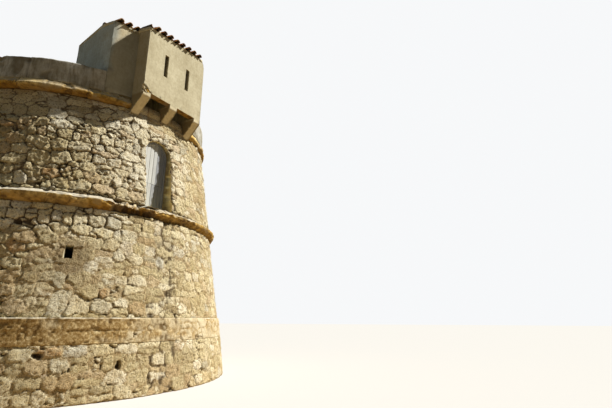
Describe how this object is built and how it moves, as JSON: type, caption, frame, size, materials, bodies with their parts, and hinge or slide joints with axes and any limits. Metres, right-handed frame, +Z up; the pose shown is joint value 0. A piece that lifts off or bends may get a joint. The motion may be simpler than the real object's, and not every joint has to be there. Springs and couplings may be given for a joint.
{
  "type": "round coastal watch tower",
  "caption": "Round battered masonry watch tower with a plinth, cordons, a raised door, a parapet and a roofed defence box on corbels.",
  "frame": {"origin": "centre of the tower's foot, on its axis at ground level", "axes": "+Z is up along the tower's axis, and the raised door faces -Y"},
  "size_m": [9.9998, 9.9998, 10.0112],
  "materials": {
    "rubble": "rough limestone rubble with lime mortar",
    "band_plaster": "worn lime render",
    "cordon_stone": "weathered sandstone",
    "vault_stone": "rubble with lime mortar",
    "paving": "worn lime paving",
    "parapet_plaster": "stained lime render",
    "box_plaster": "smooth lime render",
    "door_wood": "grey weathered planks",
    "roof_tile": "old clay tiles with lichen"
  },
  "bodies": {
    "root": {"plinth_base": "rubble", "plinth_band": "band_plaster", "lower_wall_left_front": "rubble", "lower_wall_front_left": "rubble", "lower_wall_front_right": "rubble", "lower_wall_back_left": "rubble", "lower_wall_back_right": "rubble", "slit_sill": "rubble", "slit_lintel": "rubble", "lower_vault": "vault_stone", "upper_floor": "paving", "mid_cordon_front": "cordon_stone", "mid_cordon_back": "cordon_stone", "upper_wall_front_left": "rubble", "upper_wall_front_right": "rubble", "upper_wall_back_left": "rubble", "upper_wall_back_right": "rubble", "door_sill": "cordon_stone", "door_head": "rubble", "door_frame": "door_wood", "door_leaf": "door_wood", "upper_dome": "vault_stone", "terrace_floor": "paving", "top_cordon_front_left": "cordon_stone", "top_cordon_front_right": "cordon_stone", "top_cordon_back_left": "cordon_stone", "top_cordon_back_right": "cordon_stone", "parapet_front_left": "parapet_plaster", "parapet_front_right": "parapet_plaster", "parapet_back_left": "parapet_plaster", "parapet_back_right": "parapet_plaster", "box_sill": "rubble", "corbel_left": "box_plaster", "corbel_middle": "box_plaster", "corbel_right": "box_plaster", "box_lintels": "cordon_stone", "box_front_wall": "box_plaster", "box_left_wall": "box_plaster", "box_right_wall": "box_plaster", "head_front_wall": "box_plaster", "head_left_wall": "box_plaster", "head_back_wall": "box_plaster", "roof_front": "roof_tile", "roof_rear": "roof_tile"}
  },
  "joints": []
}
